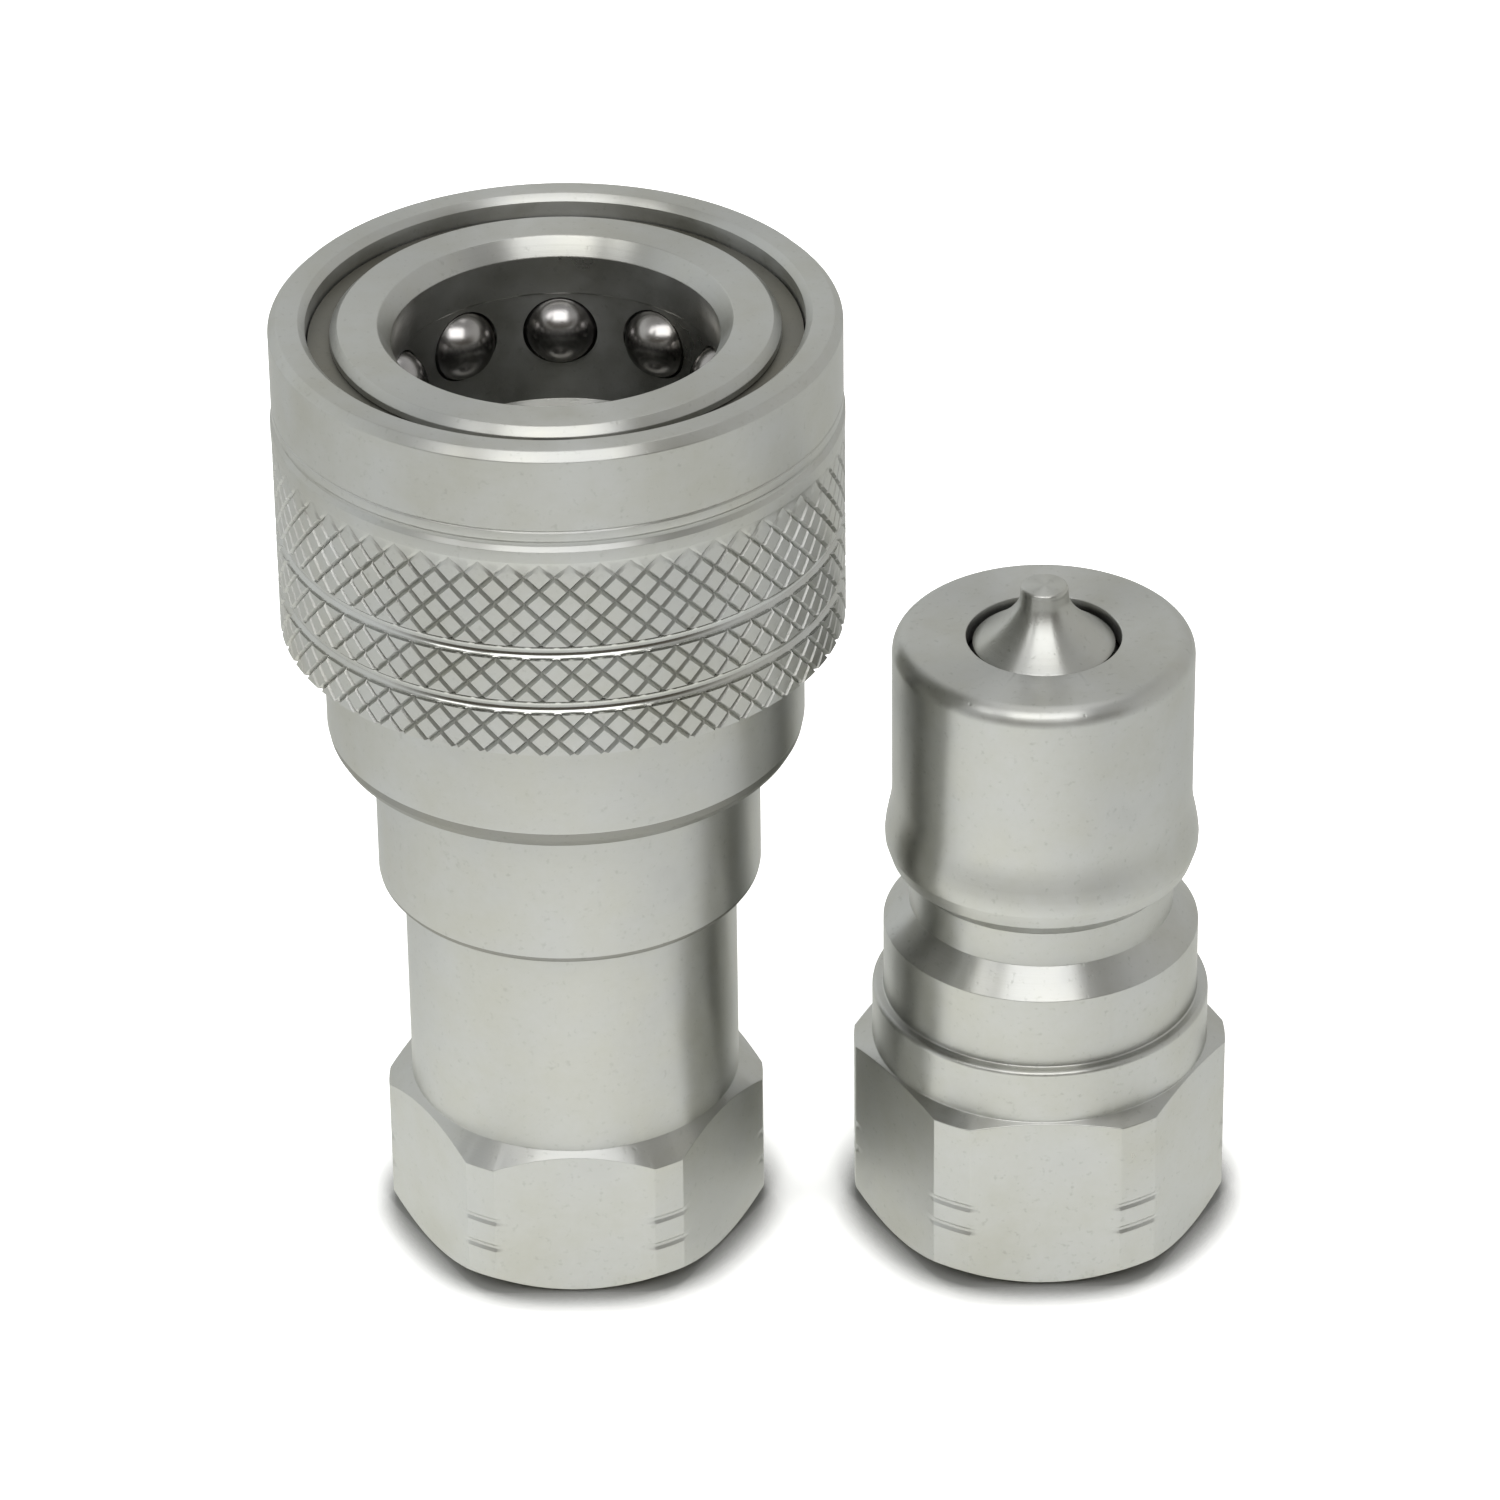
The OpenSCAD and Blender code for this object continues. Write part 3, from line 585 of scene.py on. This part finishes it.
def coil(node, wire_r, turns, x, sides=12, steps=36):
    """A compression spring with closed ends, in the box of its CAD node."""
    low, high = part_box(node)
    mean_r = (high.x - low.x) / 2 / MM - wire_r
    closed = 2 * wire_r + 0.05
    bottom, top = low.z / MM + wire_r, high.z / MM - wire_r
    pitch = (top - bottom - 2 * closed) / (turns - 2)
    count = int(turns * steps)
    verts = []
    for i in range(count + 1):
        u = i / steps
        lift = closed * min(u, 1) + pitch * max(0, min(u, turns - 1) - 1) \
            + closed * max(0, u - turns + 1)
        a = 2 * math.pi * u
        for k in range(sides):
            b = 2 * math.pi * k / sides
            r = mean_r + wire_r * math.cos(b)
            verts.append((x + r * math.cos(a), r * math.sin(a),
                          bottom + lift + wire_r * math.sin(b)))
    faces = [(i * sides + k, (i + 1) * sides + k, (i + 1) * sides + (k + 1) % sides,
              i * sides + (k + 1) % sides) for i in range(count) for k in range(sides)]
    faces.append(tuple(range(sides)))
    faces.append(tuple(count * sides + k for k in reversed(range(sides))))
    return make_object(node + "_finish", verts, faces)


for node, body_name, joint, wire_r, turns, travel, x in (
        ("sleeve_spring", "spring_turn", "sleeve_slide", 0.65, 3.5, 6.0, SOCKET_X),
        ("socket_valve_spring", "coupling", "socket_valve_slide", 0.45, 5, 4.2, SOCKET_X),
        ("plug_valve_spring", "coupling", "plug_valve_slide", 0.45, 7, 4.2, PLUG_X)):
    spring = piece(coil(node, wire_r, turns, x), node, body_name, spring_metal)
    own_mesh(spring)

# ---------------------------------------------------------------- plug half

plug_angles = hex_angles(12.025)


def plug_section(i):
    above = [
        (10.825, 12.75, 0.1, 3), (10.825, 16.5, 0.3, 5), (10.1, 16.5, 0.12, 4),
        (10.1, 21.45, 0.1), (8.47, 23.08, 0.08), (8.47, 25.52, 0.08), (9.66, 26.71, 0.1, 4),
        (9.98, 27.7, 0.12, 3), (10.0, 28.2), (9.94, 28.75), (9.8, 29.5), (9.65, 30.2),
        (9.57, 30.9), (9.55, 31.5), (9.55, PLUG_TOP, 1.15, 12), (4.9, PLUG_TOP, 0.08, 3), (4.9, 41.0),
        (CHAMBER_R, 38.35), (CHAMBER_R, 18.9), (7.57, 18.9), (7.57, 17.85),
        (CHAMBER_R, 17.85), (CHAMBER_R, PORT_DEPTH)]
    inside = pipe_thread(plug_angles[i], PORT_DEPTH) + [(8.75, 0, 0.05, 2)]
    return hex_section(plug_angles[i], 12.75, 12.025, 10.825, 0.48, (4.4, 6.2), above, inside)


plug = piece(revolved("plug_body_finish", plug_section, plug_angles, PLUG_X),
             "plug_body", "coupling", zinc_plug, drawn_plug)
mark_flats(plug, PLUG_X)

# ---------------------------------------------------------------- camera

FOCAL_PX, DISTANCE = 7596.1, 0.48538
PITCH, ROLL = math.radians(31.899), math.radians(0.719)
TARGET = Vector((-0.000634, 0.003801, 0.031808))

cam_data = bpy.data.cameras.new("camera")
cam_data.sensor_fit = "HORIZONTAL"
cam_data.sensor_width = 36
cam_data.lens = FOCAL_PX / 1500 * 36
cam_data.clip_start, cam_data.clip_end = 0.01, 20
camera = bpy.data.objects.new("camera", cam_data)
bpy.context.scene.collection.objects.link(camera)
forward = Vector((0, math.cos(PITCH), -math.sin(PITCH)))
up = Vector((0, math.sin(PITCH), math.cos(PITCH)))
right = Vector((1, 0, 0))
image_right = right * math.cos(ROLL) - up * math.sin(ROLL)
image_up = up * math.cos(ROLL) + right * math.sin(ROLL)
camera.matrix_world = Matrix.Translation(TARGET - forward * DISTANCE) @ Matrix(
    (image_right, image_up, -forward)).transposed().to_4x4()
bpy.context.scene.camera = camera

# ---------------------------------------------------------------- floor, lamps, world

scene = bpy.context.scene
scene.view_settings.view_transform = "Standard"

mesh = bpy.data.meshes.new("floor")
HALF_FLOOR, FLOOR_Z = 3.0, -0.00002
mesh.from_pydata([(x * HALF_FLOOR, y * HALF_FLOOR, FLOOR_Z)
                  for x, y in ((-1, -1), (1, -1), (1, 1), (-1, 1))], [], [(0, 1, 2, 3)])
floor = bpy.data.objects.new("floor", mesh)
scene.collection.objects.link(floor)
floor_mat = bpy.data.materials.new("floor")
floor_mat.use_nodes = True
nodes, links = floor_mat.node_tree.nodes, floor_mat.node_tree.links
shader = nodes["Principled BSDF"]
shader.inputs["Roughness"].default_value = 1.0
shader.inputs["Specular IOR Level"].default_value = 0.0


def chosen(factor, a, b):
    """Colour a, or b where factor is 1."""
    node = nodes.new("ShaderNodeMix")
    node.data_type = "RGBA"
    links.new(factor, node.inputs["Factor"])
    for key, value in (("A", a), ("B", b)):
        if isinstance(value, tuple):
            node.inputs[key].default_value = value
        else:
            links.new(value, node.inputs[key])
    return node.outputs["Result"]


def stepped(socket, low, high, out_low, out_high):
    """A smooth step of a value."""
    node = nodes.new("ShaderNodeMapRange")
    node.interpolation_type = "SMOOTHSTEP"
    for key, value in (("From Min", low), ("From Max", high), ("To Min", out_low),
                       ("To Max", out_high)):
        node.inputs[key].default_value = value
    links.new(socket, node.inputs["Value"])
    return node.outputs["Result"]


# painted light on the sheet: in reflections its colour is a painted pool of light, brightest where
# the pair stands, which the walls reflect;
# seen by the camera it is white with a narrow painted shadow, from ambient occlusion, where the pair
# touches it
path = nodes.new("ShaderNodeLightPath")
place = nodes.new("ShaderNodeNewGeometry")
away = nodes.new("ShaderNodeVectorMath")
away.operation = "DISTANCE"
away.inputs[1].default_value = (-0.012, -0.03, 0)
links.new(place.outputs["Position"], away.inputs[0])
painted_pool = chosen(stepped(away.outputs["Value"], 0.0, 0.12, 0, 1), (1.75, 1.76, 1.72, 1),
              (0.95, 0.96, 0.95, 1))
# painted shadow: the camera sees the sheet darker where ambient occlusion finds the pair close, and
# white elsewhere
contact = nodes.new("ShaderNodeAmbientOcclusion")
contact.inputs["Distance"].default_value = 0.005
camera_white_with_painted_shadow = chosen(stepped(contact.outputs["AO"], 0.48, 0.95, 0, 1), (0.24, 0.24, 0.235, 1),
              (1.8, 1.8, 1.8, 1))
sheet = chosen(path.outputs["Is Glossy Ray"], (0.8, 0.8, 0.79, 1), painted_pool)
links.new(chosen(path.outputs["Is Camera Ray"], sheet, camera_white_with_painted_shadow), shader.inputs["Base Color"])
floor.data.materials.append(floor_mat)

world = bpy.data.worlds.new("world")
scene.world = world
world.use_nodes = True
nodes, links = world.node_tree.nodes, world.node_tree.links
background = nodes["Background"]
aim = nodes.new("ShaderNodeTexCoord")
axes = nodes.new("ShaderNodeSeparateXYZ")
links.new(aim.outputs["Generated"], axes.inputs[0])


def product(a, b):
    node = nodes.new("ShaderNodeMath")
    node.operation = "MULTIPLY"
    links.new(a, node.inputs[0])
    links.new(b, node.inputs[1])
    return node.outputs[0]


walls = chosen(stepped(axes.outputs["X"], -0.9, 0.9, 0, 1), (1.0, 1.02, 1.01, 1),
               (0.78, 0.78, 0.76, 1))
room = chosen(stepped(axes.outputs["Z"], 0.55, 0.95, 0, 1), walls, (0.5, 0.5, 0.49, 1))
ahead = product(stepped(axes.outputs["Y"], -0.75, -0.2, 1, 0),
                stepped(axes.outputs["Z"], 0.5, 0.7, 1, 0))
room = chosen(ahead, room, (0.14, 0.125, 0.105, 1))
path = nodes.new("ShaderNodeLightPath")
links.new(chosen(path.outputs["Is Camera Ray"], room, (1, 1, 1, 1)),
          background.inputs["Color"])
background.inputs["Strength"].default_value = 1.0


def lamp(name, at, towards, size, watts):
    light = bpy.data.lights.new(name, "AREA")
    light.shape = "RECTANGLE"
    light.size, light.size_y = size
    light.energy = watts
    obj = bpy.data.objects.new(name, light)
    obj.location = at
    obj.rotation_euler = (Vector(towards) - Vector(at)).to_track_quat("-Z", "Y").to_euler()
    scene.collection.objects.link(obj)


lamp("key", (0.0, -0.49, 0.79), (0, 0, 0.03), (0.7, 0.5), 3.4)
lamp("side", (-0.46, -0.36, 0.72), (0, 0, 0.03), (0.2, 0.3), 0.5)
lamp("over", (0.1, 0.35, 1.1), (0, 0, 0), (0.7, 0.5), 1.0)
